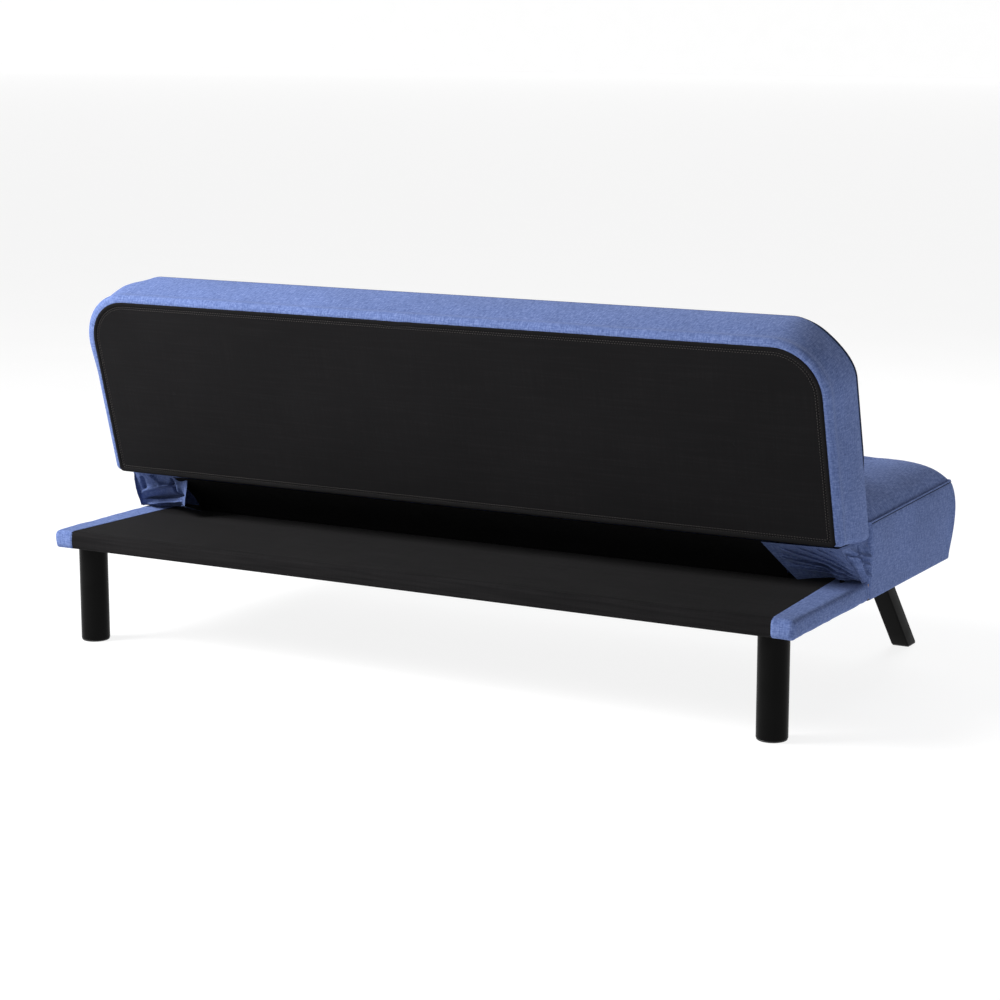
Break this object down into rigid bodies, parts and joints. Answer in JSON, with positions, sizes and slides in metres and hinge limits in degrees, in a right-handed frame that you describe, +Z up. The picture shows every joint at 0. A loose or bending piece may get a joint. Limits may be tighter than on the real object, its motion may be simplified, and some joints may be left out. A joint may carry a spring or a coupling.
{
  "type": "futon sofa bed",
  "caption": "Armless upholstered sofa bed on four black legs, with a backrest that folds down flat on end hinges over a low rear deck to make a bed.",
  "frame": {"origin": "on the floor, under the middle of the whole sofa's box, folded up as a sofa", "axes": "+X along the length towards the sitter's left, -Y towards the front of the seat, +Z up"},
  "size_m": [1.68, 0.875, 0.755],
  "materials": {
    "blue_fabric": "matte",
    "black_fabric": "matte",
    "black_steel": "satin",
    "black_plastic": "matte",
    "zinc_steel": "satin",
    "spring_steel": "satin",
    "timber": "matte",
    "foam": "matte"
  },
  "bodies": {
    "base": {"cross_rail": "timber", "deck_board": "timber", "deck_cover": "black_fabric", "deck_stretcher": "timber", "dust_cover": "black_fabric", "end_rail_left": "timber", "end_rail_right": "timber", "end_strip_left": "blue_fabric", "end_strip_right": "blue_fabric", "front_foot_left": "black_plastic", "front_foot_right": "black_plastic", "front_leg_block_left": "timber", "front_leg_block_right": "timber", "front_leg_bolt_left_1": "zinc_steel", "front_leg_bolt_left_2": "zinc_steel", "front_leg_bolt_right_1": "zinc_steel", "front_leg_bolt_right_2": "zinc_steel", "front_leg_left": "black_steel", "front_leg_right": "black_steel", "front_rail": "timber", "gap_lining": "black_fabric", "gusset_left": "blue_fabric", "gusset_right": "blue_fabric", "hinge_pin_left": "zinc_steel", "hinge_pin_right": "zinc_steel", "rear_foot_left": "black_plastic", "rear_foot_right": "black_plastic", "rear_leg_block_left": "timber", "rear_leg_block_right": "timber", "rear_leg_bolt_left": "zinc_steel", "rear_leg_bolt_right": "zinc_steel", "rear_leg_left": "black_steel", "rear_leg_right": "black_steel", "rear_rail": "timber", "seat_arm_left": "zinc_steel", "seat_arm_right": "zinc_steel", "seat_cover": "blue_fabric", "seat_foam": "foam", "seat_spring_1": "spring_steel", "seat_spring_2": "spring_steel", "seat_spring_3": "spring_steel", "seat_spring_4": "spring_steel", "seat_stretcher": "timber"},
    "back": {"back_arm_left": "zinc_steel", "back_arm_right": "zinc_steel", "back_bottom_rail": "black_steel", "back_corner_left": "black_steel", "back_corner_right": "black_steel", "back_cover": "blue_fabric", "back_foam": "foam", "back_panel": "black_fabric", "back_spring_1": "spring_steel", "back_spring_2": "spring_steel", "back_spring_3": "spring_steel", "back_stile_left": "black_steel", "back_stile_right": "black_steel", "back_top_rail": "black_steel", "back_upright": "black_steel"},
    "pawl_left": {"pawl_left": "zinc_steel"},
    "pawl_right": {"pawl_right": "zinc_steel"}
  },
  "joints": [
    {"name": "back_fold", "type": "hinge", "parent": "base", "child": "back", "pos_m": [0, 0.1305, 0.331], "axis": [-1, 0, 0], "range_deg": [-10, 75.8], "deforming": ["gusset_left", "gusset_right", "gap_lining"]},
    {"name": "pawl_left_swing", "type": "hinge", "parent": "base", "child": "pawl_left", "pos_m": [0.8001, 0.11021, 0.2875], "axis": [1, 0, 0], "range_deg": [0, 12], "stiffness_Nm_per_rad": 0.06, "springref_deg": -5.73},
    {"name": "pawl_right_swing", "type": "hinge", "parent": "base", "child": "pawl_right", "pos_m": [-0.8001, 0.11021, 0.2875], "axis": [1, 0, 0], "range_deg": [0, 12], "stiffness_Nm_per_rad": 0.06, "springref_deg": -5.73}
  ]
}
